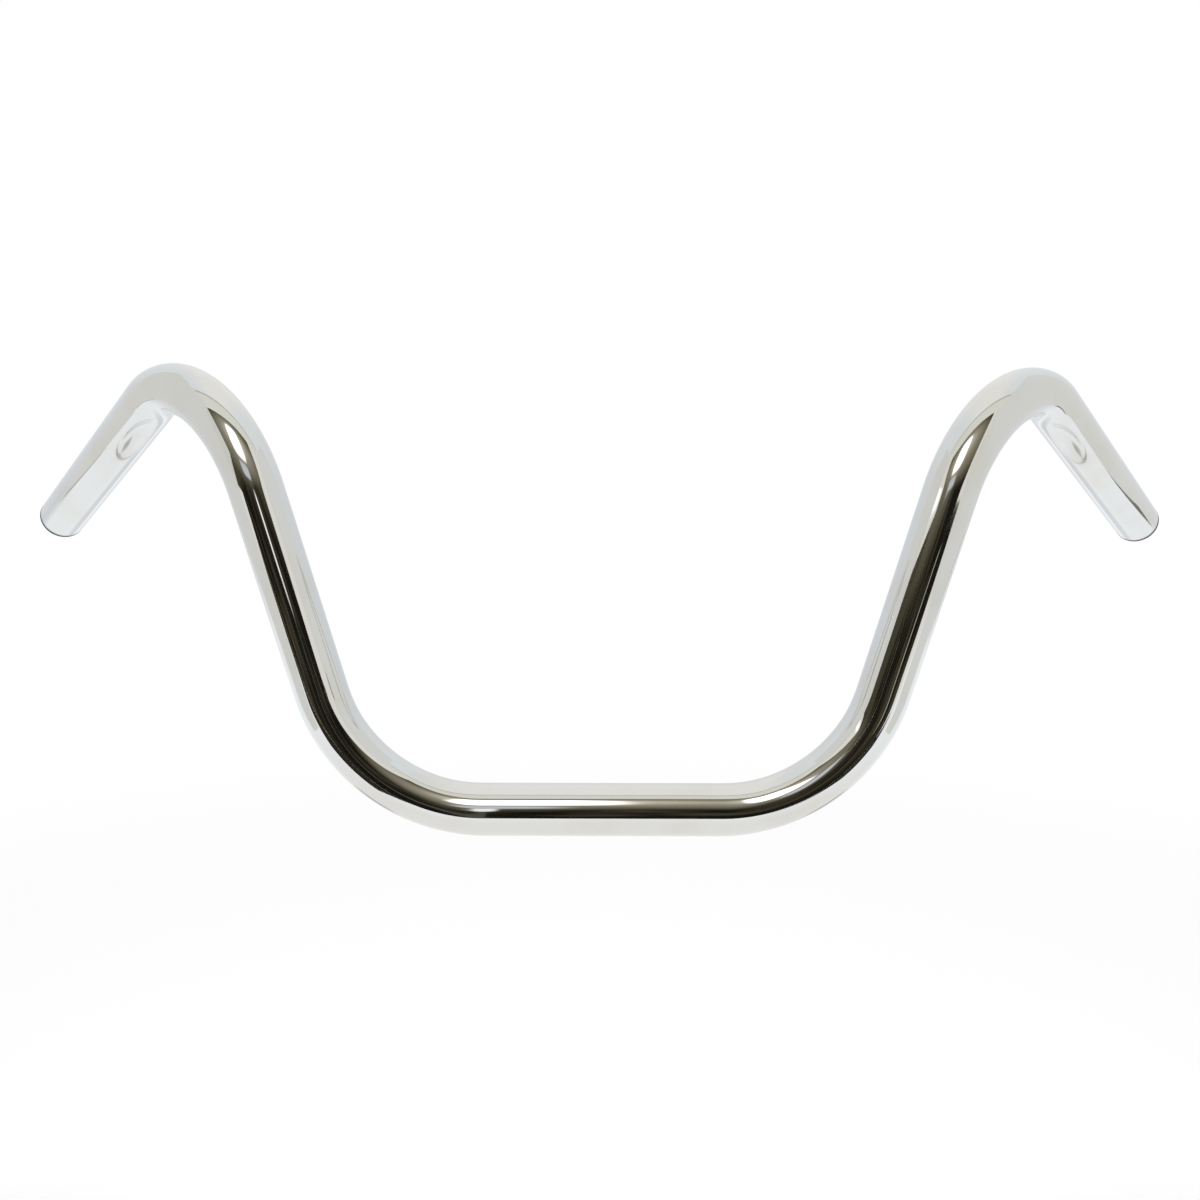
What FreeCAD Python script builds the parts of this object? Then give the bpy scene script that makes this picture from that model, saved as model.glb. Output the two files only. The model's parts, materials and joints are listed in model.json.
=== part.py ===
import FreeCAD, Part
import math
import os
import Sketcher

# A motorcycle handlebar: one chrome-plated steel tube with four bends, in millimetres and degrees.
# The origin is the middle of the clamped centre section, which lies along X. The risers stand in the
# XZ plane, +Z is up and the grips sweep back towards +Y. One half is drawn from the data a tube bender
# is set by (a straight, a turn of the bend's plane about the tube, a bend) and mirrored in the YZ plane.

SIZES = {
    "tube_diameter": 25.4,          # a 1 inch bar
    "wall_thickness": 3.05,
    "centre_straight": 114.0,       # clamped section, between the lower bends
    "lower_bend_radius": 80.0,      # bend radii are those of the tube's centreline
    "lower_bend_angle": 74.0,
    "riser_straight": 99.0,         # between the lower and the upper bend
    "bend_plane_turn": 45.0,        # about the riser, from outwards to rearwards
    "upper_bend_radius": 60.0,
    "upper_bend_angle": 103.0,
    "grip_straight": 166.0,         # from the upper bend to the tube's end
    "dimple_distance": 21.0,        # from the upper bend to the dimple's middle
    "dimple_turn": 30.0,            # about the grip, from the inside of the bend to the front
    "dimple_depth": 3.5,
    "dimple_nose_radius": 8.0,      # roundness of the pressed hollow across the grip
    "dimple_sweep_radius": 90.0,    # roundness of its floor along the grip
    "dimple_lip_radius": 1.5,
    "rim_chamfer": 1.0,             # outer edge of the tube's end
    "bore_chamfer": 0.5,            # inner edge of the tube's end
}

NODE = "handlebar"
TUBE_RADIUS = "Sizes.tube_diameter / 2"
BORE_RADIUS = "Sizes.tube_diameter / 2 - Sizes.wall_thickness"


def bend_end(lead, bend):
    """The place after a straight and a bend. X runs along the tube, and the bend goes towards Y."""
    radius = f"Sizes.{bend}_radius"
    angle = f"Sizes.{bend}_angle"
    along = f"{lead} + {radius} * sin({angle} * 1 deg)"
    aside = f"{radius} * (1 - cos({angle} * 1 deg))"
    return f"placement(vector({along}; {aside}; 0); rotation({angle}; 0; 0))"


def step(along, turn="0"):
    """The place a distance further along the tube, and turned about the tube."""
    return f"placement(vector({along}; 0; 0); rotation(0; 0; {turn}))"


# Places along the half tube, in the frame of a sketch on the XZ plane. A section across the tube has its X
# towards the dimple, so the seam of the tube's round faces runs along the dimple's middle.
ACROSS_TUBE = " * ".join([
    "placement(vector(0; 0; 0); rotation(90; 0; 90))",
    "placement(vector(0; 0; 0); rotation(-Sizes.dimple_turn; 0; 0))",
])
RISER_MIDDLE = " * ".join([
    bend_end("Sizes.centre_straight / 2", "lower_bend"),
    step("Sizes.riser_straight / 2", "180 + Sizes.bend_plane_turn"),
])
DIMPLE_MIDDLE = " * ".join([
    RISER_MIDDLE,
    bend_end("Sizes.riser_straight / 2", "upper_bend"),
    step("Sizes.dimple_distance"),
])


def make_sheet(doc):
    """The driving dimensions, one named cell each."""
    sheet = doc.addObject("Spreadsheet::Sheet", "Sizes")
    for row, (name, value) in enumerate(SIZES.items(), 1):
        sheet.set(f"A{row}", name)
        sheet.set(f"B{row}", str(value))
        sheet.setAlias(f"B{row}", name)
    doc.recompute()


def origin_plane(body, role):
    """One of the body's own origin planes."""
    return next(plane for plane in body.Origin.OriginFeatures if plane.Role == role)


def add_sketch(body, name, place=None):
    """A sketch on the body's XZ plane, or moved from there to a place along the tube."""
    sketch = body.newObject("Sketcher::SketchObject", f"{body.Name}_{name}")
    sketch.AttachmentSupport = (origin_plane(body, "XZ_Plane"), [""])
    sketch.MapMode = "FlatFace"
    if place:
        sketch.setExpression("AttachmentOffset", place)
    return sketch


def bind(sketch, name, constraint, size):
    """Adds a named constraint and ties it to the sheet."""
    sketch.renameConstraint(sketch.addConstraint(constraint), name)
    sketch.setExpression(f"Constraints.{name}", size)


def add_section(body, name, place, radius):
    """A round section about the tube's axis."""
    sketch = add_sketch(body, name, place)
    drawn = body.Document.Sizes.tube_diameter / 2
    circle = sketch.addGeometry(Part.Circle(FreeCAD.Vector(), FreeCAD.Vector(0, 0, 1), drawn))
    sketch.addConstraint(Sketcher.Constraint("Coincident", circle, 3, -1, 1))
    bind(sketch, "section_radius", Sketcher.Constraint("Radius", circle, drawn), radius)
    return sketch


def add_path(body, name, place, lead, bend, tail):
    """A straight from the sketch's origin along X, a bend towards Y and a straight, each tangent to the next."""
    sketch = add_sketch(body, name, place)
    radius = getattr(body.Document.Sizes, f"{bend}_radius")
    angle = math.radians(getattr(body.Document.Sizes, f"{bend}_angle"))
    centre = FreeCAD.Vector(radius, radius, 0)
    heading = FreeCAD.Vector(math.cos(angle), math.sin(angle), 0)
    leaving = centre + FreeCAD.Vector(heading.y, -heading.x, 0) * radius
    circle = Part.Circle(centre, FreeCAD.Vector(0, 0, 1), radius)
    first = sketch.addGeometry(Part.LineSegment(FreeCAD.Vector(), FreeCAD.Vector(radius, 0, 0)))
    arc = sketch.addGeometry(Part.ArcOfCircle(circle, -math.pi / 2, angle - math.pi / 2))
    last = sketch.addGeometry(Part.LineSegment(leaving, leaving + heading * radius))
    sketch.addConstraint(Sketcher.Constraint("Coincident", first, 1, -1, 1))
    sketch.addConstraint(Sketcher.Constraint("Horizontal", first))
    sketch.addConstraint(Sketcher.Constraint("Tangent", first, 2, arc, 1))
    sketch.addConstraint(Sketcher.Constraint("Tangent", arc, 2, last, 1))
    bind(sketch, "lead", Sketcher.Constraint("Distance", first, radius), lead)
    bind(sketch, "bend_radius", Sketcher.Constraint("Radius", arc, radius), f"Sizes.{bend}_radius")
    bind(sketch, "bend_angle", Sketcher.Constraint("Angle", -1, 1, last, 1, angle), f"Sizes.{bend}_angle")
    bind(sketch, "tail", Sketcher.Constraint("Distance", last, radius), tail)
    return sketch


def add_run(body, name, section, path):
    """Carries a section along the three edges of a path."""
    body.Document.recompute()
    run = body.newObject("PartDesign::AdditivePipe", f"{body.Name}_{name}")
    run.Profile = section
    run.Spine = (path, ["Edge1", "Edge2", "Edge3"])
    body.Document.recompute()


def add_half_tube(body, radius, grip_length):
    """A solid bent rod, from the middle of the centre section to the grip's end."""
    lower_section = add_section(body, "lower_section", ACROSS_TUBE, radius)
    lower_path = add_path(body, "lower_path", None, "Sizes.centre_straight / 2", "lower_bend",
                          "Sizes.riser_straight / 2")
    add_run(body, "lower_run", lower_section, lower_path)
    upper_section = add_section(body, "upper_section", f"{RISER_MIDDLE} * {ACROSS_TUBE}", radius)
    upper_path = add_path(body, "upper_path", RISER_MIDDLE, "Sizes.riser_straight / 2", "upper_bend",
                          grip_length)
    add_run(body, "upper_run", upper_section, upper_path)
    return upper_path


def press_dimple(body, nose_radius):
    """The hollow of a round-nosed punch: a circle across the grip, swung about a pivot below the grip."""
    sketch = add_sketch(body, "dimple_section", f"{DIMPLE_MIDDLE} * {ACROSS_TUBE}")
    sizes = body.Document.Sizes
    floor = sizes.tube_diameter / 2 - sizes.dimple_depth
    floor_size = f"{TUBE_RADIUS} - Sizes.dimple_depth"
    nose = FreeCAD.Vector(floor + sizes.dimple_nose_radius, 0, 0)
    pivot = FreeCAD.Vector(floor + sizes.dimple_sweep_radius, 0, 0)
    circle = sketch.addGeometry(Part.Circle(nose, FreeCAD.Vector(0, 0, 1), sizes.dimple_nose_radius))
    axis = sketch.addGeometry(Part.LineSegment(pivot, pivot + FreeCAD.Vector(0, floor, 0)), True)
    sketch.addConstraint(Sketcher.Constraint("PointOnObject", circle, 3, -1))
    sketch.addConstraint(Sketcher.Constraint("PointOnObject", axis, 1, -1))
    sketch.addConstraint(Sketcher.Constraint("Vertical", axis))
    bind(sketch, "nose_radius", Sketcher.Constraint("Radius", circle, sizes.dimple_nose_radius), nose_radius)
    bind(sketch, "nose_place", Sketcher.Constraint("DistanceX", -1, 1, circle, 3, nose.x),
         f"{floor_size} + Sizes.dimple_nose_radius")
    bind(sketch, "pivot_place", Sketcher.Constraint("DistanceX", -1, 1, axis, 1, pivot.x),
         f"{floor_size} + Sizes.dimple_sweep_radius")
    bind(sketch, "axis_length", Sketcher.Constraint("Distance", axis, floor), floor_size)
    body.Document.recompute()
    whole = body.Shape.Volume
    dimple = body.newObject("PartDesign::Groove", f"{body.Name}_dimple")
    dimple.Profile = sketch
    dimple.ReferenceAxis = (sketch, ["Axis0"])
    dimple.Midplane = True
    # the hollow takes up two of these angles, so the punch is half as long again
    dimple.setExpression("Angle", "3 * acos(1 - Sizes.dimple_depth / Sizes.dimple_sweep_radius)")
    body.Document.recompute()
    if body.Shape.Volume >= whole:
        raise RuntimeError(f"{dimple.Name} cuts nothing")
    return dimple


def edge_names(feature, wanted):
    """The names of a feature's edges that pass a test."""
    return [f"Edge{number}" for number, edge in enumerate(feature.Shape.Edges, 1) if wanted(edge)]


def dress(body, kind, name, base, edges, size, value):
    """A fillet or chamfer on some edges of the feature before it."""
    feature = body.newObject(f"PartDesign::{kind}", f"{body.Name}_{name}")
    feature.Base = (base, edges)
    feature.setExpression(size, value)
    body.Document.recompute()
    return feature


def make_handlebar(doc):
    """The bent tube: a dimpled rod, less a core that is dimpled one wall deeper, mirrored."""
    core = doc.addObject("PartDesign::Body", "core")
    add_half_tube(core, BORE_RADIUS, "Sizes.grip_straight + Sizes.wall_thickness")
    press_dimple(core, "Sizes.dimple_nose_radius + Sizes.wall_thickness")

    bar = doc.addObject("PartDesign::Body", NODE)
    bar.Label = NODE
    path = add_half_tube(bar, TUBE_RADIUS, "Sizes.grip_straight")
    dimple = press_dimple(bar, "Sizes.dimple_nose_radius")
    lip_edges = edge_names(dimple, lambda edge: isinstance(edge.Curve, Part.BSplineCurve))
    dress(bar, "Fillet", "dimple_lip", dimple, lip_edges, "Radius", "Sizes.dimple_lip_radius")

    bore = bar.newObject("PartDesign::Boolean", f"{NODE}_bore")
    bore.Type = "Cut"
    bore.setObjects([core])
    doc.recompute()

    end = path.Shape.Vertexes[-1].Point
    middle_radius = (doc.Sizes.tube_diameter - doc.Sizes.wall_thickness) / 2

    def at_end(edge):
        return isinstance(edge.Curve, Part.Circle) and edge.Curve.Center.distanceToPoint(end) < 1e-6

    outer = edge_names(bore, lambda edge: at_end(edge) and edge.Curve.Radius > middle_radius)
    rim = dress(bar, "Chamfer", "rim_chamfer", bore, outer, "Size", "Sizes.rim_chamfer")
    inner = edge_names(rim, lambda edge: at_end(edge) and edge.Curve.Radius < middle_radius)
    dress(bar, "Chamfer", "bore_chamfer", rim, inner, "Size", "Sizes.bore_chamfer")

    mirror = bar.newObject("PartDesign::Mirrored", f"{NODE}_both_sides")
    mirror.TransformMode = "Whole shape"
    mirror.MirrorPlane = (origin_plane(bar, "YZ_Plane"), [""])
    bar.Tip = mirror
    doc.recompute()
    return bar


def check(doc, parts):
    """Stops if an object failed to build or a part has no valid shape."""
    for item in doc.Objects:
        if "Invalid" in item.State or "Error" in item.State:
            raise RuntimeError(f"{item.Name} failed: {item.State}")
    for part in parts:
        if part.Shape.isNull() or not part.Shape.isValid() or len(part.Shape.Solids) != 1:
            raise RuntimeError(f"{part.Label} has no valid solid")


def main():
    doc = FreeCAD.newDocument("handlebar_model")
    make_sheet(doc)
    parts = [make_handlebar(doc)]
    check(doc, parts)
    os.makedirs("parts", exist_ok=True)
    for part in parts:
        part.Shape.exportStep(f"parts/{part.Label}.step")
        box = part.Shape.BoundBox
        print(f"{part.Label}: {part.Shape.Volume:.0f} mm3, {box.XLength:.1f} x {box.YLength:.1f} x {box.ZLength:.1f} mm")


main()
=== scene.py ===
import json
import math

import bpy
import numpy as np
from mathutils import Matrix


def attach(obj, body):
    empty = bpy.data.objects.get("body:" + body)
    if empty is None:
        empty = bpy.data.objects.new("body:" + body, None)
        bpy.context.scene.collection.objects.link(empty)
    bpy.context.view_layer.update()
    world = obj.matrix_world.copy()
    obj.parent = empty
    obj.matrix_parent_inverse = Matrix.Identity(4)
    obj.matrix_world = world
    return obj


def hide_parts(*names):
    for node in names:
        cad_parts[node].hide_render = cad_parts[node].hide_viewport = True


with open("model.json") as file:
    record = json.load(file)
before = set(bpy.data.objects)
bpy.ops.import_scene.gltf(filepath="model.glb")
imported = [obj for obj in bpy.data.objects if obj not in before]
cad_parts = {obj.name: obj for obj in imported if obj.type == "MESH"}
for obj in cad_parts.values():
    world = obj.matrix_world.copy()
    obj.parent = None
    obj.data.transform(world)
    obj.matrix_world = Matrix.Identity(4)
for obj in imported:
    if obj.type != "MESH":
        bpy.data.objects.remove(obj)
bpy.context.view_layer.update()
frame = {"nodes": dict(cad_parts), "record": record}
mounts = {mount["name"]: mount for mount in frame["record"]["mounts"]}
clampSize = mounts["centre_clamp"]["dims"]
print("frame loaded:", sorted(frame["nodes"]))


# The bent tube as its bender is set, in metres and degrees; the clamp mount gives radius and centre length
tube = {
    "radius": clampSize["r_mm"] / 1000,
    "wall": 0.00305,
    "centreStraight": clampSize["length_mm"] / 1000,
    "lowerBendRadius": 0.080, "lowerBendAngle": 74.0,
    "riserStraight": 0.099,
    "planeTurn": 45.0,              # upper bend's plane about the riser, from outwards to rearwards
    "upperBendRadius": 0.060, "upperBendAngle": 103.0,
    "gripStraight": 0.166,
    "flattening": 0.026,            # how much flatter than round a bend's section is
    "flatteningRun": 0.022,         # length over which a bend's section changes
    "aroundCount": 96, "aroundCrowding": 0.45,                          # columns stand closer at the dimple
    "straightStep": 0.004, "bendStep": 0.0017, "dimpleStep": 0.00042,   # between the outer wall's rows
    "boreStep": 0.006, "boreDimpleStep": 0.0015,                        # between the bore's rows
}

# The pressed wire dimple under each grip: a round-nosed punch swung about a pivot below the tube
dimple = {
    "distance": 0.021,              # from the upper bend to the dimple's middle
    "turn": 30.0,                   # about the grip, from the inside of the bend to the front
    "depth": 0.0035,
    "noseRadius": 0.008,            # across the grip
    "sweepRadius": 0.090,           # along the grip
    "lip": 0.0009, "boreLip": 0.0004,
    "reach": 0.036,                 # half length of the tube that is worked out for the dimple
    "searchFrom": 0.4, "searchTo": 1.1, "halvings": 36,     # shares of the round radius to search between
}

# The tube's cut end; the finish is measured back from it
rim = {
    "round": 0.0010, "boreChamfer": 0.0005,
    "roundFrom": 15.0, "roundRows": 6,              # degrees at which the round's own rows start
    "crisp": 0.00008,                               # between rows that keep a corner crisp
    "shadeBandFrom": 0.0042, "shadeBandFull": 0.0012,         # painted shade: a dark band round the rim, where the end shows a dark reflection
    "flatFrom": 0.00015, "flatFull": 0.00003,       # flat of the cut
    "dulling": 0.25,                                # roughness added on both
}


def tubeRuns():
    # Straights and bends from the bar's middle outwards, each with its start point and axes;
    # the axes are heading, up and side, and a bend turns heading towards cos(t) up + sin(t) side.
    lowerAngle, upperAngle = math.radians(tube["lowerBendAngle"]), math.radians(tube["upperBendAngle"])
    steps = [
        (tube["centreStraight"] / 2, None, 0),
        (tube["lowerBendRadius"] * lowerAngle, tube["lowerBendRadius"], 0),
        (tube["riserStraight"], None, 0),
        (tube["upperBendRadius"] * upperAngle, tube["upperBendRadius"], 180 + tube["planeTurn"]),
        (tube["gripStraight"], None, 0),
    ]
    runs = []
    start, point, axes = 0.0, np.zeros(3), np.array([[1.0, 0, 0], [0, 0, 1.0], [0, -1.0, 0]])
    for length, radius, towards in steps:
        run = {"start": start, "length": length, "radius": radius, "towards": math.radians(towards),
               "point": point, "axes": axes}
        runs.append(run)
        ends = runPlace(run, np.array([length]))
        start, point, axes = start + length, ends[0][0], np.stack([end[0] for end in ends[1:]])
    return runs


def runPlace(run, distance):
    # Place and axes a distance along one run: a straight adds distance x heading, and a bend of
    # radius r adds r (sin a heading + (1 - cos a) inside), with a = distance / r, and turns the axes by a.
    heading, up, side = run["axes"]
    distance = distance[:, None]
    if run["radius"] is None:
        still = np.ones_like(distance)
        return run["point"] + distance * heading, still * heading, still * up, still * side
    towards, radius = run["towards"], run["radius"]
    inside = math.cos(towards) * up + math.sin(towards) * side
    across = math.cos(towards) * side - math.sin(towards) * up
    sine, cosine = np.sin(distance / radius), np.cos(distance / radius)
    turned = cosine * inside - sine * heading
    return (run["point"] + radius * (sine * heading + (1 - cosine) * inside),
            cosine * heading + sine * inside,
            math.cos(towards) * turned - math.sin(towards) * across,
            math.sin(towards) * turned + math.cos(towards) * across)


runs = tubeRuns()
upperBend, grip = runs[3], runs[4]
halfLength = grip["start"] + grip["length"]
dimpleMiddle = grip["start"] + dimple["distance"]
dimpleAngle = upperBend["towards"] - math.radians(dimple["turn"])


def smoothStep(value):
    # 3 v^2 - 2 v^3, from 0 to 1
    value = np.clip(value, 0, 1)
    return value * value * (3 - 2 * value)


def tubeLine(along):
    # Centre, heading, up and side at distances from the bar's middle; the left half mirrors the right in x.
    distance = np.abs(along)
    place = [np.zeros((len(along), 3)) for _ in range(4)]
    for run in runs:
        here = distance >= run["start"]
        for part, values in zip(place, runPlace(run, distance[here] - run["start"])):
            part[here] = values
    mirror = np.where(along < 0, -1.0, 1.0)
    for part in place:
        part[:, 0] *= mirror
    return place


def raysAround(up, side, around):
    # Directions out of the tube's axis, cos(around) up + sin(around) side, for every row and column.
    return np.cos(around)[None, :, None] * up[:, None] + np.sin(around)[None, :, None] * side[:, None]


def bendShape(along, around):
    # Share of the round radius: 1 - k w cos(p)^2 + k w sin(p)^2 / 3, with p the angle from the bend's
    # inside, k the flattening and w rising from 0 to 1 and back along each bend.
    distance = np.abs(along)[:, None]
    share = np.ones((len(along), len(around)))
    for run in runs:
        if run["radius"]:
            ahead = (distance - run["start"]) / tube["flatteningRun"]
            behind = (run["start"] + run["length"] - distance) / tube["flatteningRun"]
            weight = tube["flattening"] * smoothStep(ahead) * smoothStep(behind)
            angle = around[None, :] - run["towards"]
            share += weight * (np.sin(angle) ** 2 / 3 - np.cos(angle) ** 2)
    return share


def punchFrame():
    # Middle of the dimple on the grip's axis, with unit vectors along the grip, to the punch and across.
    middle, heading, up, side = (part[0] for part in tubeLine(np.array([dimpleMiddle])))
    towards = math.cos(dimpleAngle) * up + math.sin(dimpleAngle) * side
    return middle, heading, towards, np.cross(heading, towards)


def pressedRadius(along, around, roundRadius, noseRadius, lip):
    # Radius of a wall that a punch has pressed: along each ray from the tube's axis it is the place where
    # the rounded larger of two depths is nil, out of the round tube and into the punch, a ring of the
    # nose's radius about the pivot. It is found by halving an interval, for all rays at once.
    radius = roundRadius * bendShape(along, around)
    middle, heading, towards, across = punchFrame()
    pressed = np.abs(np.abs(along) - grip["start"] - dimple["distance"]) < dimple["reach"]
    centre, _, up, side = tubeLine(np.abs(along[pressed]))
    ray = raysAround(up, side, around)
    pivot = tube["radius"] - dimple["depth"] + dimple["sweepRadius"]
    ringRadius = dimple["sweepRadius"] - dimple["noseRadius"]
    low, high = radius[pressed] * dimple["searchFrom"], radius[pressed] * dimple["searchTo"]
    for _ in range(dimple["halvings"]):
        trial = (low + high) / 2
        point = centre[:, None] + trial[..., None] * ray - middle
        toPivot = np.hypot(pivot - point @ towards, point @ heading)
        inPunch = noseRadius - np.hypot(toPivot - ringRadius, point @ across)
        outOfTube = trial - radius[pressed]
        rounded = np.hypot(np.maximum(lip + outOfTube, 0), np.maximum(lip + inPunch, 0))
        outside = rounded + np.minimum(np.maximum(outOfTube, inPunch), -lip) > 0
        low, high = np.where(outside, low, trial), np.where(outside, trial, high)
    radius[pressed] = (low + high) / 2
    return radius


def stations(stepOnStraight, stepOnBend, stepOnDimple):
    # Distances from the middle to the grip's end, spaced by what each stretch needs, then mirrored.
    marks = [run["start"] for run in runs[:-1]]
    marks += [dimpleMiddle - dimple["reach"], dimpleMiddle + dimple["reach"], halfLength - rim["round"]]
    steps = [stepOnStraight, stepOnBend, stepOnStraight, stepOnBend, stepOnDimple, stepOnStraight]
    spans = [np.linspace(first, last, math.ceil((last - first) / step), endpoint=False)
             for first, last, step in zip(marks, marks[1:], steps)]
    half = np.concatenate(spans + [np.array(marks[-1:])])
    return np.concatenate([-half[:0:-1], half])


def rimProfile():
    # Distances back from the tube's end, and insets from the outer wall: a quarter round of the outer
    # edge, the flat end and the bore's chamfer, with close pairs that keep the corners crisp.
    turn = np.radians(np.linspace(rim["roundFrom"], 90, rim["roundRows"]))
    crisp, chamfer, wall = rim["crisp"], rim["boreChamfer"], tube["wall"]
    flatEnd = wall - chamfer
    back = [*(rim["round"] * (1 - np.sin(turn))), 0, 0, 0, crisp, chamfer - crisp, chamfer]
    inset = [*(rim["round"] * (1 - np.cos(turn))), rim["round"] + crisp,
             flatEnd - crisp, flatEnd, flatEnd + crisp, wall - crisp, wall]
    return np.array(back), np.array(inset)


def makeBar():
    # One closed grid: rows go out along the outer wall from the left end to the right, round the rim, back
    # through the bore and round the other rim; columns go round the tube. A vertex is
    # centre(along) + radius(along, around) (cos(around) up + sin(around) side), and the angles around
    # crowd towards the dimple d by a - k sin(a - d).
    around = np.linspace(0, 2 * math.pi, tube["aroundCount"], endpoint=False)
    around -= tube["aroundCrowding"] * np.sin(around - dimpleAngle)
    outer = stations(tube["straightStep"], tube["bendStep"], tube["dimpleStep"])
    bore = stations(tube["boreStep"], tube["boreStep"], tube["boreDimpleStep"])[::-1]
    boreEnd = halfLength - 2 * rim["round"]         # clear of the chamfer
    bore = np.clip(bore, -boreEnd, boreEnd)
    back, inset = rimProfile()
    along = np.concatenate([outer, halfLength - back, bore, back[::-1] - halfLength])
    outerRadius = pressedRadius(outer, around, tube["radius"], dimple["noseRadius"], dimple["lip"])
    boreRadius = pressedRadius(bore, around, tube["radius"] - tube["wall"],
                               dimple["noseRadius"] + tube["wall"], dimple["boreLip"])
    rimRadius = np.repeat(tube["radius"] - inset[:, None], len(around), 1)
    radius = np.concatenate([outerRadius, rimRadius, boreRadius, rimRadius[::-1]])

    centre, _, up, side = tubeLine(along)
    points = centre[:, None] + radius[..., None] * raysAround(up, side, around)

    rows, columns = radius.shape
    row, column = np.meshgrid(np.arange(rows), np.arange(columns), indexing="ij")
    nextRow, nextColumn = (row + 1) % rows, (column + 1) % columns
    corners = np.stack([row * columns + column, row * columns + nextColumn,
                        nextRow * columns + nextColumn, nextRow * columns + column], -1).reshape(-1, 4)
    firstBore, lastBore = len(outer) + len(back) - 1, len(outer) + len(back) + len(bore)
    inBore = ((row >= firstBore) & (row < lastBore)).reshape(-1)

    mesh = bpy.data.meshes.new("handlebarTube")
    mesh.from_pydata(points.reshape(-1, 3).tolist(), [], corners.tolist())
    mesh.polygons.foreach_set("use_smooth", np.ones(len(corners), bool))
    mesh.polygons.foreach_set("material_index", inBore.astype(np.int32))
    mesh.attributes.new("alongTube", "FLOAT", "POINT").data.foreach_set(
        "value", np.repeat(along, columns).astype(np.float32))
    mesh.update()
    bar = bpy.data.objects.new("chromedBar", mesh)
    bpy.context.scene.collection.objects.link(bar)
    print("bar:", rows, "rows x", columns, "columns,", 2 * len(corners), "triangles")
    return bar


white = (1, 1, 1)


def opaque(colour):
    return (*colour, 1)


def addNode(tree, kind, inputs=None, **settings):
    # A node with its settings; an input is a value, or another node's output to link from
    node = tree.nodes.new(kind)
    for name, value in settings.items():
        setattr(node, name, value)
    for name, value in (inputs or {}).items():
        if isinstance(value, bpy.types.NodeSocket):
            tree.links.new(value, node.inputs[name])
        else:
            node.inputs[name].default_value = value
    return node


def addMath(tree, operation, *inputs):
    return addNode(tree, "ShaderNodeMath", dict(enumerate(inputs)), operation=operation).outputs[0]


def addRange(tree, value, low, high, bottom=0.0, top=1.0, kind="SMOOTHSTEP"):
    # From bottom to top while the value goes from low to high
    ends = {"Value": value, "From Min": low, "From Max": high, "To Min": bottom, "To Max": top}
    return addNode(tree, "ShaderNodeMapRange", ends, interpolation_type=kind).outputs[0]


def addMix(tree, factor, first, second):
    ends = {"Factor": factor, "A": first, "B": second}
    return addNode(tree, "ShaderNodeMix", ends, data_type="RGBA").outputs["Result"]


def addRamp(tree, value, stops):
    ramp = addNode(tree, "ShaderNodeValToRGB", {"Fac": value})
    elements = ramp.color_ramp.elements
    while len(elements) < len(stops):
        elements.new(0.5)
    for element, (position, colour) in zip(elements, stops):
        element.position = position
        element.color = opaque(colour)
    return ramp.outputs["Color"]


def addLength(tree, vector):
    return addNode(tree, "ShaderNodeVectorMath", {0: vector}, operation="LENGTH").outputs["Value"]


def mixShaders(tree, factor, first, second):
    return addNode(tree, "ShaderNodeMixShader", {0: factor, 1: first, 2: second}).outputs[0]


def objectPlace(tree):
    return addNode(tree, "ShaderNodeTexCoord").outputs["Object"]


def placeFrom(tree, middle, half=(1, 1, 1)):
    # Place measured from a middle, in units of the half sizes
    ends = {"Location": middle, "Scale": half, "Vector": objectPlace(tree)}
    return addNode(tree, "ShaderNodeMapping", ends, vector_type="TEXTURE").outputs[0]


def emptyMaterial(name):
    material = bpy.data.materials.new(name)
    material.use_nodes = True
    material.node_tree.nodes.clear()
    return material, material.node_tree


def addGroup(name, inputs, outputs):
    # A node group with named float inputs and their defaults, and named float outputs
    group = bpy.data.node_groups.new(name, "ShaderNodeTree")
    for label, default in inputs.items():
        socket = group.interface.new_socket(label, in_out="INPUT", socket_type="NodeSocketFloat")
        socket.default_value = default
    for label in outputs:
        group.interface.new_socket(label, in_out="OUTPUT", socket_type="NodeSocketFloat")
    return group


# The noise in the tube's skin, layer by layer, and how strong a patch has to be to show as haze
skinNoise = {
    "waves": {"Detail": 1.0, "Roughness": 0.4},
    "rings": {"Detail": 3.0, "Roughness": 0.6},
    "grain": {"Detail": 2.0, "Roughness": 0.5},
    "patches": {"Scale": 34.0, "Detail": 3.0, "Roughness": 0.55},
    "hazeFrom": 0.42, "hazeFull": 0.72,
}


def makeTubeSkin():
    # Metal tube's skin: slow waves left by drawing and bending, rings left by the polishing belt, and
    # patches of haze. Haze runs from 0 to 1, and Relief is a height in units of the Bump's distance.
    group = addGroup("tubeSkin", {"Wave Scale": 60.0, "Ring Scale": 900.0, "Ring Share": 0.1,
                                  "Grain Scale": 1500.0, "Grain Share": 0.05}, ["Haze", "Relief"])
    given = addNode(group, "NodeGroupInput").outputs
    place = objectPlace(group)
    along = addNode(group, "ShaderNodeAttribute", attribute_name="alongTube").outputs["Fac"]

    def noise(layer, inputs, **settings):
        return addNode(group, "ShaderNodeTexNoise", {**inputs, **skinNoise[layer]}, **settings).outputs["Fac"]

    waves = noise("waves", {"Vector": place, "Scale": given["Wave Scale"]})
    rings = noise("rings", {"W": along, "Scale": given["Ring Scale"]}, noise_dimensions="1D")
    grain = noise("grain", {"Vector": place, "Scale": given["Grain Scale"]})
    patches = noise("patches", {"Vector": place})
    ringed = addMath(group, "MULTIPLY_ADD", rings, given["Ring Share"], waves)
    relief = addMath(group, "MULTIPLY_ADD", grain, given["Grain Share"], ringed)
    haze = addRange(group, patches, skinNoise["hazeFrom"], skinNoise["hazeFull"])
    addNode(group, "NodeGroupOutput", {"Haze": haze, "Relief": relief})
    return group


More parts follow.
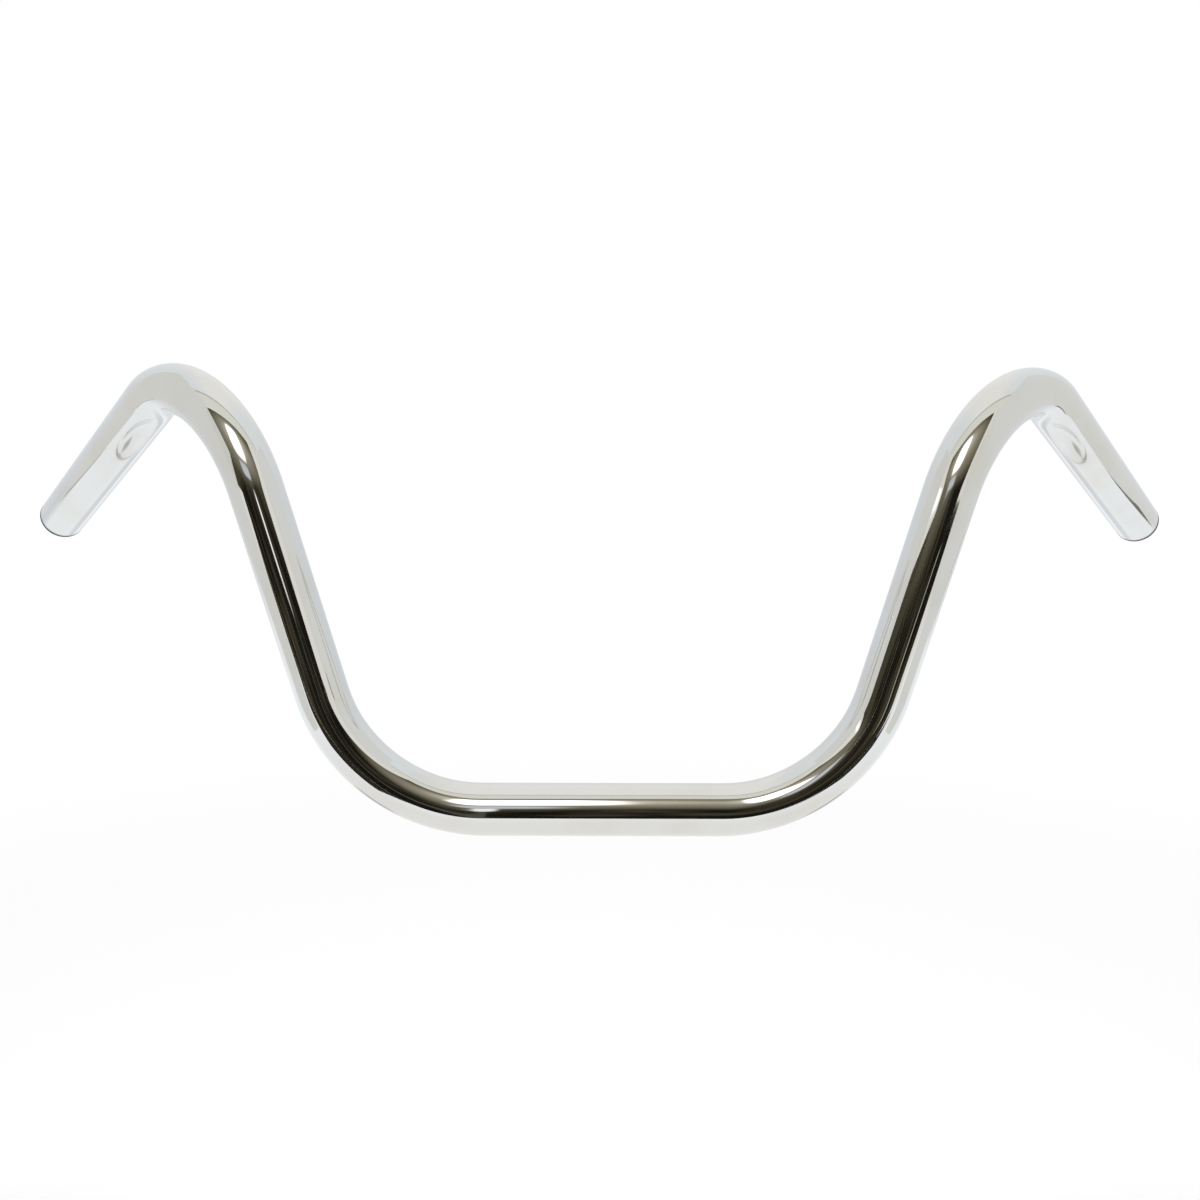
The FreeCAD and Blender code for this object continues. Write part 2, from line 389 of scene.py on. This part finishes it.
def makeMetal(name, skin, look):
    # Metal under the tube's skin; a painted shade darkens a band round the rim, and the flat of the cut
    # is dull steel. The painted shade band can be matt, with no metal in it, so it stays dark from any side.
    material, tree = emptyMaterial(name)
    skinNode = addNode(tree, "ShaderNodeGroup", look["skin"], node_tree=skin)
    haze = skinNode.outputs["Haze"]
    along = addNode(tree, "ShaderNodeAttribute", attribute_name="alongTube").outputs["Fac"]
    away = addMath(tree, "ABSOLUTE", along)
    # painted shade: a dark band just inside the tube's end
    rimShade = addRange(tree, away, halfLength - rim["shadeBandFrom"], halfLength - rim["shadeBandFull"])
    flat = addRange(tree, away, halfLength - rim["flatFrom"], halfLength - rim["flatFull"], kind="LINEAR")
    tint = addMix(tree, haze, opaque(look["clear"]), opaque(look["hazy"]))
    shadeAndCutFace = addMix(tree, flat, opaque(look["rimPaintedShade"]), opaque(look["cutFace"]))
    rough = addRange(tree, haze, 0.0, 1.0, *look["roughness"], kind="LINEAR")
    bump = addNode(tree, "ShaderNodeBump", {"Strength": 1.0, "Distance": look["relief"],
                                            "Height": skinNode.outputs["Relief"]})
    metal = addNode(tree, "ShaderNodeBsdfPrincipled", {
        "Base Color": addMix(tree, rimShade, tint, shadeAndCutFace),
        "Metallic": 1.0, "Specular IOR Level": 0.0,
        "Roughness": addMath(tree, "MULTIPLY_ADD", rimShade, rim["dulling"], rough),
        "Normal": bump.outputs["Normal"],
    })
    if look["mattPaintedShade"]:
        band = addMath(tree, "SUBTRACT", rimShade, flat)
        tree.links.new(addMath(tree, "SUBTRACT", 1.0, band), metal.inputs["Metallic"])
    addNode(tree, "ShaderNodeOutputMaterial", {"Surface": metal.outputs["BSDF"]})
    material.diffuse_color = opaque(look["clear"])
    return material


# Roughness is given without haze and with it; relief is the height in metres of a full step of the skin's
chromeLook = {
    "clear": (0.72, 0.715, 0.70), "hazy": (0.70, 0.685, 0.655), "roughness": (0.035, 0.075),
    # painted shade round the rim: near black and without metal
    "rimPaintedShade": (0.02, 0.02, 0.02), "mattPaintedShade": True, "cutFace": (0.40, 0.39, 0.37),
    "relief": 0.000004,
    "skin": {"Wave Scale": 55.0, "Ring Scale": 900.0, "Ring Share": 0.02,
             "Grain Scale": 1400.0, "Grain Share": 0.02},
}
boreLook = {
    "clear": (0.33, 0.32, 0.30), "hazy": (0.20, 0.17, 0.14), "roughness": (0.42, 0.62),
    "rimPaintedShade": (0.30, 0.29, 0.27), "mattPaintedShade": False, "cutFace": (0.40, 0.39, 0.37),
    "relief": 0.00012,
    "skin": {"Wave Scale": 140.0, "Ring Scale": 700.0, "Ring Share": 0.3,
             "Grain Scale": 2200.0, "Grain Share": 0.35},
}

bar = makeBar()
tubeSkin = makeTubeSkin()
bar.data.materials.append(makeMetal("chromePlate", tubeSkin, chromeLook))
bar.data.materials.append(makeMetal("bareSteelBore", tubeSkin, boreLook))
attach(bar, "root")
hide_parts("handlebar")
print("finish: chrome plate outside, bare steel in the bore")


def rectangle(low, high):
    return [(low[0], low[1]), (high[0], low[1]), (high[0], high[1]), (low[0], high[1])]


def boxAround(middle, half):
    return rectangle(np.subtract(middle, half).tolist(), np.add(middle, half).tolist())


def onFront(outline, y, middle=0.0, slope=0.0):
    # Outline in x and z on an upright plane, y + slope (x - middle)
    return [(x, y + slope * (x - middle), z) for x, z in outline]


def onSide(outline, x):
    return [(x, y, z) for y, z in outline]


def onLevel(outline, z):
    return [(x, y, z) for x, y in outline]


def stagePanel(name, points, material):
    # A flat panel that only the metal's reflections see
    mesh = bpy.data.meshes.new(name)
    mesh.from_pydata(points, [], [list(range(len(points)))])
    panel = bpy.data.objects.new(name, mesh)
    bpy.context.scene.collection.objects.link(panel)
    mesh.materials.append(material)
    panel.visible_camera = False
    panel.visible_diffuse = False
    panel.visible_shadow = False


def glowMaterial(name, colour, strength=1.0):
    material, tree = emptyMaterial(name)
    glow = addNode(tree, "ShaderNodeEmission", {"Color": opaque(colour), "Strength": strength})
    addNode(tree, "ShaderNodeOutputMaterial", {"Surface": glow.outputs[0]})
    return material


def softMaterial(name, middle, half, colour, strength, core):
    # Lamp or shade that fades out towards its edges: the length of the squares of the place over the half
    # sizes is 1 where it is gone, and core where it is full
    material, tree = emptyMaterial(name)
    place = placeFrom(tree, middle, half)
    squared = addNode(tree, "ShaderNodeVectorMath", {0: place, 1: place}, operation="MULTIPLY").outputs[0]
    mask = addRange(tree, addLength(tree, squared), 1.0, core)
    clear = addNode(tree, "ShaderNodeBsdfTransparent")
    glow = addNode(tree, "ShaderNodeEmission", {"Color": opaque(colour), "Strength": strength})
    soft = mixShaders(tree, mask, clear.outputs[0], glow.outputs[0])
    addNode(tree, "ShaderNodeOutputMaterial", {"Surface": soft})
    return material


# The pale floor, in metres
paperFloor = {
    "level": -0.36, "reach": 4.0,
    "colour": (0.88, 0.88, 0.88), "roughness": 0.9,
    "lift": 0.155,                      # glow for the camera alone
    "fadeFrom": 0.55, "fadeTo": 1.5,    # distances between which the paper turns into plain white
    # the floor as the metal sees it: distance from its middle over its reach, colour
    "tones": [(0.10, (1.0, 1.0, 0.985)), (0.19, (1.06, 1.10, 1.13)), (0.34, (1.06, 1.10, 1.14)),
              (0.48, (0.88, 0.91, 0.95)), (0.80, (0.78, 0.81, 0.85))],
}


def makeFloor():
    # Paper near the bar, which keeps its shadow, and plain white further off, so that no horizon shows
    reach, level = paperFloor["reach"], paperFloor["level"]
    mesh = bpy.data.meshes.new("paleFloor")
    mesh.from_pydata(onLevel(rectangle((-reach, -reach), (reach, reach)), level), [], [(0, 1, 2, 3)])
    floor = bpy.data.objects.new("paleFloor", mesh)
    bpy.context.scene.collection.objects.link(floor)
    material, tree = emptyMaterial("palePaper")
    rays = addNode(tree, "ShaderNodeLightPath").outputs
    paper = addNode(tree, "ShaderNodeBsdfPrincipled", {
        "Base Color": opaque(paperFloor["colour"]), "Roughness": paperFloor["roughness"],
        "Specular IOR Level": 0.0, "Emission Color": opaque(white),
        "Emission Strength": addMath(tree, "MULTIPLY", rays["Is Camera Ray"], paperFloor["lift"]),
    })
    distance = addLength(tree, placeFrom(tree, (0, 0, level)))
    tones = addRamp(tree, addMath(tree, "DIVIDE", distance, reach), paperFloor["tones"])
    farTone = addMix(tree, rays["Is Glossy Ray"], opaque(white), tones)
    farWhite = addNode(tree, "ShaderNodeEmission", {"Color": farTone})
    fade = addRange(tree, distance, paperFloor["fadeFrom"], paperFloor["fadeTo"])
    notPaper = addMath(tree, "MAXIMUM", fade, rays["Is Glossy Ray"])
    both = mixShaders(tree, notPaper, paper.outputs[0], farWhite.outputs[0])
    addNode(tree, "ShaderNodeOutputMaterial", {"Surface": both})
    mesh.materials.append(material)


# The white tent round the bar; a direction's sideways and upward parts say where its colours change
whiteTent = {
    "overhead": (1.0, 1.0, 0.98), "sideSky": (0.89, 0.94, 0.97), "horizon": (0.80, 0.83, 0.87),
    "sideFrom": 0.12, "sideFull": 0.5,
    "roofFrom": 0.05, "roofFull": 0.6,
    "skyLight": 0.62,                   # strength of the light on the floor
}


def makeWorld():
    # White to the camera; to the metal a neutral roof above, bluish to the sides and darker at the horizon
    world = bpy.data.worlds.new("whiteTent")
    bpy.context.scene.world = world
    world.use_nodes = True
    tree = world.node_tree
    tree.nodes.clear()
    direction = addNode(tree, "ShaderNodeTexCoord").outputs["Generated"]
    parts = addNode(tree, "ShaderNodeSeparateXYZ", {0: direction}).outputs
    sideways = addMath(tree, "ABSOLUTE", parts["X"])
    toSide = addRange(tree, sideways, whiteTent["sideFrom"], whiteTent["sideFull"])
    roof = addMix(tree, toSide, opaque(whiteTent["overhead"]), opaque(whiteTent["sideSky"]))
    height = addRange(tree, parts["Z"], whiteTent["roofFrom"], whiteTent["roofFull"], kind="LINEAR")
    tent = addMix(tree, height, opaque(whiteTent["horizon"]), roof)

    def light(colour, strength=1.0):
        return addNode(tree, "ShaderNodeBackground", {"Color": colour, "Strength": strength}).outputs[0]

    rays = addNode(tree, "ShaderNodeLightPath").outputs
    sky = light(opaque(white), whiteTent["skyLight"])
    forMetal = mixShaders(tree, rays["Is Glossy Ray"], sky, light(tent))
    forCamera = mixShaders(tree, rays["Is Camera Ray"], forMetal, light(opaque(white)))
    addNode(tree, "ShaderNodeOutputWorld", {"Surface": forCamera})


# The tent's front wall behind the camera, and the strips of its roof there: y from and to, colour
frontWall = {"at": -0.92, "reach": 2.3, "top": 1.85, "colour": (0.93, 0.92, 0.87)}
creamRoof = {
    "level": 1.85, "reach": 1.6,
    "strips": {"creamRoof": (-0.90, -0.33, (0.88, 0.875, 0.80)),
               "roofSeam": (-0.33, -0.24, (0.60, 0.59, 0.53))},
}

# The dark opening in the front wall: outline in x and z, and the tones of the room beyond it
darkOpening = {
    "at": -0.90,
    "outline": [(-1.24, -0.36), (-1.20, -0.25), (-0.98, -0.08), (-0.90, 0.08), (-0.775, 0.413),
                (-1.276, 1.62), (0.952, 1.97), (0.552, 0.30), (0.47, 0.09), (0.70, 0.03), (0.80, -0.10),
                (0.80, -0.20), (0.62, -0.36)],
    "glowCentre": (-0.15, 1.05), "glowReach": (1.15, 1.0),
    "glowTones": [(0.0, (0.95, 0.93, 0.84)), (0.26, (0.60, 0.57, 0.47)), (0.42, (0.36, 0.335, 0.26)),
                  (0.62, (0.235, 0.215, 0.16)), (0.85, (0.13, 0.122, 0.078)), (0.98, (0.075, 0.07, 0.04))],
    "blotches": {"Scale": 5.0, "Detail": 2.0},
    "darkTones": [(0.46, (0.010, 0.009, 0.006)), (0.70, (0.085, 0.072, 0.046))],
    "darkBetween": (0.05, 0.42),        # heights between which the dark part gives way to the glow
    "stepBetween": (-0.10, 0.06), "stepHeight": 0.13,       # between these x it rises by this, to the right
}


def openingMaterial():
    # Dark room beyond the tent: an olive glow falls off with the distance from its centre, and the low
    # part is near black with faint brown blotches
    material, tree = emptyMaterial("darkOpening")
    place = objectPlace(tree)
    (x, z), (halfWidth, halfHeight) = darkOpening["glowCentre"], darkOpening["glowReach"]
    fromGlow = placeFrom(tree, (x, darkOpening["at"], z), (halfWidth, 1, halfHeight))
    glow = addRamp(tree, addLength(tree, fromGlow), darkOpening["glowTones"])
    blotches = addNode(tree, "ShaderNodeTexNoise", {"Vector": place, **darkOpening["blotches"]})
    dark = addRamp(tree, blotches.outputs["Fac"], darkOpening["darkTones"])
    parts = addNode(tree, "ShaderNodeSeparateXYZ", {0: place}).outputs
    step = addRange(tree, parts["X"], *darkOpening["stepBetween"], top=darkOpening["stepHeight"])
    rise = addRange(tree, addMath(tree, "SUBTRACT", parts["Z"], step), *darkOpening["darkBetween"])
    room = addNode(tree, "ShaderNodeEmission", {"Color": addMix(tree, rise, dark, glow)})
    addNode(tree, "ShaderNodeOutputMaterial", {"Surface": room.outputs[0]})
    return material


# Flat shapes on planes that face the bar: plane's y, outline in x and z, colour, strength
frontShapes = {
    "brownWing": (-0.895, [(-2.10, -0.05), (-0.90, -0.02), (-0.76, 0.43), (-2.10, 0.62)],
                  (0.068, 0.060, 0.043), 1.0),
    "stripLight": (-0.89, [(-1.85, 0.74), (-0.94, 0.49), (-0.94, 0.56), (-1.85, 0.90)], (1, 1, 1), 1.5),
    "doorLine": (-0.895, [(0.37, 0.05), (0.42, 0.05), (0.34, -0.15), (0.28, -0.15)], (0.42, 0.41, 0.35), 1.0),
    "standLine": (-0.545, [(-0.115, -0.19), (-0.105, -0.19), (-0.10, 0.10), (-0.12, 0.10)],
                  (0.10, 0.095, 0.08), 1.0),
    "leftFold": (-0.20, [(-0.445, 0.095), (-0.41, 0.100), (-0.306, 0.222), (-0.308, 0.240), (-0.445, 0.55)],
                 (0.78, 0.78, 0.75), 1.0),
    "rightFold": (-0.42, [(0.70, -0.10), (0.45, 0.0), (0.385, 0.21), (0.60, 1.04), (0.70, 1.04)],
                  (0.83, 0.84, 0.80), 1.0),
    "darkTick": (-0.20, [(0.150, 0.072), (0.176, 0.080), (0.186, 0.112), (0.160, 0.100)],
                 (0.03, 0.028, 0.022), 1.0),
}

# Lamps with soft edges: plane's y at the middle and its slope in x, middle in x and z, half width and
# half height, colour, strength; the lamp by the stand is turned edge-on to the right riser
softLamps = {
    "softbox": (-0.88, 0.0, (-0.18, 0.97), (0.26, 0.43), (1, 1, 0.99), 2.9),
    "softboxFoot": (-0.88, 0.0, (-0.20, 0.42), (0.19, 0.12), (0.93, 0.98, 1.07), 0.7),
    "standLamp": (-0.54, 2.1, (-0.11, 0.13), (0.024, 0.07), (1, 1, 0.98), 1.15),
}
lampCore = 0.35         # a lamp is full out to here, as softMaterial measures it

# Painted shades on the floor: middle in x and y, half sizes, colour; the painted shade along the paper's fold
# behind the bar and the painted shadow of each grip
softShades = {
    # painted shade along the fold behind the bar
    "backFoldShade": ((0, 0.86), (1.0, 0.26), (0.80, 0.83, 0.87)),
    "leftGripShade": ((-0.35, 0.28), (0.085, 0.13), (0.56, 0.575, 0.59)),
    "rightGripShade": ((0.35, 0.28), (0.085, 0.13), (0.56, 0.575, 0.59)),
}
shadeCore = 0.0         # a shade fades from its middle on

# Cards beside the bar and the painted shadow in the gap under each: plane's x, outline in y and z, colour
sideShapes = {
    "leftCard": (-0.70, [(-0.42, -0.33), (0.02, -0.33), (0.13, -0.14), (0.20, -0.07), (0.275, 0.02),
                         (0.315, 0.075), (0.35, 0.96), (-0.42, 0.96)], (0.82, 0.825, 0.805)),
    "rightCard": (0.70, [(-0.42, -0.33), (0.02, -0.33), (0.17, -0.10), (0.235, -0.13), (0.255, -0.09),
                         (0.285, -0.02), (0.42, 0.13), (0.42, 0.96), (-0.42, 0.96)], (0.84, 0.855, 0.83)),
    # painted shadow in the gaps under the cards
    "leftCardShadow": (-0.699, [(0.20, -0.07), (0.21, -0.076), (0.285, 0.013), (0.275, 0.02)],
                     (0.56, 0.56, 0.54)),
    "rightCardShadow": (0.699, [(0.232, -0.132), (0.248, -0.125), (0.305, -0.015), (0.278, -0.012)],
                      (0.22, 0.21, 0.19)),
}

# Dark shapes on the floor, the front edges of the paper: outline in x and y
floorShapes = {
    "leftFloorDark": [(-0.26, -0.89), (-0.35, -0.45), (-0.60, -0.46), (-1.25, -0.89)],
    "rightFloorDark": [(0.24, -0.89), (0.42, -0.58), (0.60, -0.62), (0.85, -0.89)],
}
floorDark = (0.03, 0.026, 0.018)
aboveFloor = paperFloor["level"] + 0.002        # where shades and shapes lie, just clear of the paper

# A lamp over the bar for the floor's shadow, which the metal doesn't show
overheadKey = {"power": 28.0, "size": 0.6, "place": (0, 0.1, 2.4)}


def makeKey():
    key = bpy.data.lights.new("overheadKey", "AREA")
    key.energy = overheadKey["power"]
    key.size = overheadKey["size"]
    keyObject = bpy.data.objects.new("overheadKey", key)
    keyObject.location = overheadKey["place"]
    keyObject.visible_glossy = False
    keyObject.visible_camera = False
    bpy.context.scene.collection.objects.link(keyObject)


def makeStudio():
    makeFloor()
    makeWorld()
    reach = frontWall["reach"]
    wall = rectangle((-reach, paperFloor["level"]), (reach, frontWall["top"]))
    stagePanel("frontWall", onFront(wall, frontWall["at"]), glowMaterial("frontWall", frontWall["colour"]))
    stagePanel("darkOpening", onFront(darkOpening["outline"], darkOpening["at"]), openingMaterial())
    for name, (y, outline, colour, strength) in frontShapes.items():
        stagePanel(name, onFront(outline, y), glowMaterial(name, colour, strength))
    for name, (y, slope, (x, z), half, colour, strength) in softLamps.items():
        stagePanel(name, onFront(boxAround((x, z), half), y, x, slope),
                   softMaterial(name, (x, y, z), (half[0], 1, half[1]), colour, strength, lampCore))
    for name, (middle, half, colour) in softShades.items():
        stagePanel(name, onLevel(boxAround(middle, half), aboveFloor),
                   softMaterial(name, (*middle, aboveFloor), (*half, 1), colour, 1.0, shadeCore))
    for name, (x, outline, colour) in sideShapes.items():
        stagePanel(name, onSide(outline, x), glowMaterial(name, colour))
    for name, outline in floorShapes.items():
        stagePanel(name, onLevel(outline, aboveFloor), glowMaterial(name, floorDark))
    reach = creamRoof["reach"]
    for name, (near, far, colour) in creamRoof["strips"].items():
        stagePanel(name, onLevel(rectangle((-reach, near), (reach, far)), creamRoof["level"]),
                   glowMaterial(name, colour))
    makeKey()
    print("studio: floor, tent, opening and lamps")


# The camera stands in front, level with the grips, and looks slightly down
cameraSetup = {
    "place": (-0.0053, -0.5455, 0.1802),
    "turn": (81.864, -0.269, -0.349),   # degrees about X, Y and Z
    "lens": 35.11, "sensor": 36.0,
    "clipStart": 0.01,
}


def makeCamera():
    data = bpy.data.cameras.new("camera")
    data.lens = cameraSetup["lens"]
    data.sensor_width = cameraSetup["sensor"]
    data.clip_start = cameraSetup["clipStart"]
    camera = bpy.data.objects.new("camera", data)
    camera.location = cameraSetup["place"]
    camera.rotation_euler = [math.radians(angle) for angle in cameraSetup["turn"]]
    bpy.context.scene.collection.objects.link(camera)
    bpy.context.scene.camera = camera
    print("camera: lens", cameraSetup["lens"], "mm, at", cameraSetup["place"])


makeStudio()
makeCamera()
bpy.context.scene.view_settings.view_transform = "Standard"
